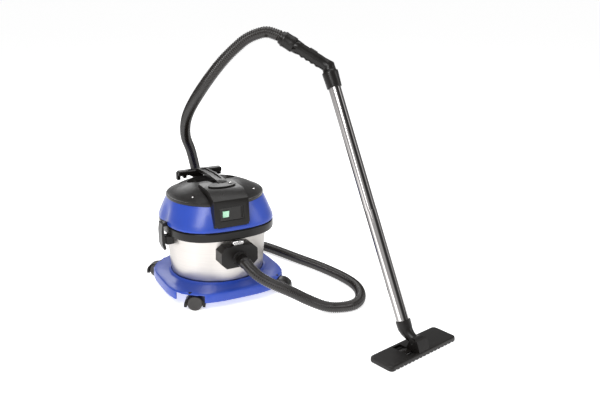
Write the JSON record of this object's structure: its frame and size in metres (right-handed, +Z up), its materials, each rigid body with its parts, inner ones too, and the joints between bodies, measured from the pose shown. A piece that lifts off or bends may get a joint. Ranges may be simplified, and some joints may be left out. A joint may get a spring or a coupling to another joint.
{
  "type": "tub vacuum cleaner",
  "caption": "Castered tub vacuum cleaner with a steel tub, lift-off blue motor head, side latches, swivelling suction hose, bent grip, chrome wand and a pivoting floor tool.",
  "frame": {"origin": "centre of the footprint of everything but the hose, on the floor that the wheels and the floor tool rest on", "axes": "+Z up; -Y the front, which the switch panel, the hose inlet and the floor tool face; +X to the machine's left as it looks along -Y, towards the wand"},
  "size_m": [0.6382, 1.0597, 0.8431],
  "materials": {
    "blue_plastic": "polished",
    "black_plastic": "satin",
    "dark_plastic": "matte",
    "stainless_steel": "satin",
    "chrome": "polished",
    "rubber": "matte",
    "lit_rocker": "polished",
    "foam": "matte",
    "filter_cloth": "matte",
    "bag_paper": "matte",
    "bristle": "matte"
  },
  "bodies": {
    "trolley": {"trolley_base": "blue_plastic", "steel_tub": "stainless_steel", "rim_band": "black_plastic", "rim_seal": "rubber", "inlet_housing": "black_plastic", "socket_ring": "rubber", "cloth_filter": "filter_cloth", "dust_bag": "bag_paper", "latch_keeper_left": "black_plastic", "latch_keeper_right": "black_plastic", "suction_hose": "black_plastic", "wand_grip": "black_plastic", "wand_upper": "chrome", "wand_lower": "chrome", "wand_joint": "chrome", "tool_neck": "black_plastic"},
    "head": {"head_shell": "blue_plastic", "top_cover": "black_plastic", "switch_panel": "black_plastic", "switch_bezel": "dark_plastic", "switch_body": "dark_plastic", "handle_boss": "black_plastic", "carry_handle": "black_plastic", "handle_screw": "stainless_steel", "cover_screw_left": "stainless_steel", "cover_screw_right": "stainless_steel", "cover_screw_rear": "stainless_steel", "motor_deck": "dark_plastic", "motor_casing": "stainless_steel", "exhaust_foam": "foam", "fan_cage": "dark_plastic", "latch_mount_left": "black_plastic", "latch_mount_right": "black_plastic", "latch_pin_left": "stainless_steel", "latch_pin_right": "stainless_steel", "cord_gland": "rubber"},
    "motor_rotor": {"motor_shaft": "stainless_steel", "armature": "dark_plastic", "fan_rotor": "stainless_steel"},
    "rocker": {"rocker_switch": "lit_rocker"},
    "latch_left": {"latch_lever_left": "black_plastic"},
    "latch_right": {"latch_lever_right": "black_plastic"},
    "inlet_swivel": {"inlet_cuff": "black_plastic"},
    "catch": {"hose_catch": "stainless_steel"},
    "grip_swivel": {"grip_cuff": "black_plastic"},
    "slide": {"suction_slide": "dark_plastic"},
    "floor_tool": {"tool_cover": "black_plastic", "tool_sole": "dark_plastic", "tool_pin": "stainless_steel"},
    "pedal": {"tool_pedal": "dark_plastic"},
    "brush": {"brush_frame": "bristle"},
    "caster_front_left": {"caster_hood_front_left": "black_plastic"},
    "wheel_front_left": {"wheels_front_left": "dark_plastic"},
    "caster_front_right": {"caster_hood_front_right": "black_plastic"},
    "wheel_front_right": {"wheels_front_right": "dark_plastic"},
    "caster_rear_left": {"caster_hood_rear_left": "black_plastic"},
    "wheel_rear_left": {"wheels_rear_left": "dark_plastic"},
    "caster_rear_right": {"caster_hood_rear_right": "black_plastic"},
    "wheel_rear_right": {"wheels_rear_right": "dark_plastic"}
  },
  "joints": [
    {"name": "swivel_front_left", "type": "hinge", "parent": "trolley", "child": "caster_front_left", "pos_m": [-0.27047, 0.12627, 0.05], "axis": [0, 0, 1], "continuous": true},
    {"name": "roll_front_left", "type": "hinge", "parent": "caster_front_left", "child": "wheel_front_left", "pos_m": [-0.25805, 0.11981, 0.0235], "axis": [0.4617, 0.887, 0], "continuous": true},
    {"name": "swivel_front_right", "type": "hinge", "parent": "trolley", "child": "caster_front_right", "pos_m": [0.02153, 0.12627, 0.05], "axis": [0, 0, 1], "continuous": true},
    {"name": "roll_front_right", "type": "hinge", "parent": "caster_front_right", "child": "wheel_front_right", "pos_m": [0.03225, 0.11727, 0.0235], "axis": [0.6428, 0.766, 0], "continuous": true},
    {"name": "swivel_rear_left", "type": "hinge", "parent": "trolley", "child": "caster_rear_left", "pos_m": [-0.27047, 0.41827, 0.05], "axis": [0, 0, 1], "continuous": true},
    {"name": "roll_rear_left", "type": "hinge", "parent": "caster_rear_left", "child": "wheel_rear_left", "pos_m": [-0.28165, 0.42669, 0.0235], "axis": [-0.6018, -0.7986, 0], "continuous": true},
    {"name": "swivel_rear_right", "type": "hinge", "parent": "trolley", "child": "caster_rear_right", "pos_m": [0.02153, 0.41827, 0.05], "axis": [0, 0, 1], "continuous": true},
    {"name": "roll_rear_right", "type": "hinge", "parent": "caster_rear_right", "child": "wheel_rear_right", "pos_m": [0.03053, 0.429, 0.0235], "axis": [-0.766, 0.6428, 0], "continuous": true},
    {"name": "head_lift", "type": "slide", "parent": "trolley", "child": "head", "axis": [0, 0, 1], "range_m": [0, 0.09]},
    {"name": "motor_spin", "type": "hinge", "parent": "head", "child": "motor_rotor", "pos_m": [-0.12447, 0.27227, 0.26], "axis": [0, 0, 1], "continuous": true},
    {"name": "power_rocker", "type": "hinge", "parent": "head", "child": "rocker", "pos_m": [-0.15597, 0.10002, 0.2958], "axis": [-1, 0, 0], "range_deg": [0, 12]},
    {"name": "latch_left_swing", "type": "hinge", "parent": "head", "child": "latch_left", "pos_m": [-0.30347, 0.25227, 0.244], "axis": [0, 1, 0], "range_deg": [0, 75]},
    {"name": "latch_right_swing", "type": "hinge", "parent": "head", "child": "latch_right", "pos_m": [0.05453, 0.29227, 0.244], "axis": [0, -1, 0], "range_deg": [0, 75]},
    {"name": "inlet_cuff_turn", "type": "hinge", "parent": "trolley", "child": "inlet_swivel", "pos_m": [-0.12447, 0.07227, 0.157], "axis": [0, 1, 0], "continuous": true},
    {"name": "hose_catch_press", "type": "slide", "parent": "trolley", "child": "catch", "axis": [0, 0, -1], "range_m": [0, 0.003], "stiffness_N_per_m": 400, "springref_m": -0.001},
    {"name": "grip_cuff_turn", "type": "hinge", "parent": "trolley", "child": "grip_swivel", "pos_m": [0.01033, 0.01228, 0.80084], "axis": [-0.6939, 0.5122, 0.5062], "continuous": true},
    {"name": "suction_slide", "type": "slide", "parent": "trolley", "child": "slide", "axis": [-0.6939, 0.5122, 0.5062], "range_m": [0, 0.017]},
    {"name": "tool_pivot", "type": "hinge", "parent": "trolley", "child": "floor_tool", "pos_m": [0.18418, -0.40815, 0.031], "axis": [0.9732, 0.23, 0], "range_deg": [-45, 12]},
    {"name": "pedal_rock", "type": "hinge", "parent": "floor_tool", "child": "pedal", "pos_m": [0.14587, -0.40693, 0.0118], "axis": [0.9732, 0.23, 0], "range_deg": [0, 10.1]},
    {"name": "brush_lift", "type": "slide", "parent": "floor_tool", "child": "brush", "axis": [0, 0, 1], "range_m": [0, 0.002]}
  ],
  "couplings": [
    {"joint": "pedal_rock", "follows": "brush_lift", "rad_per_m": 87.2}
  ]
}
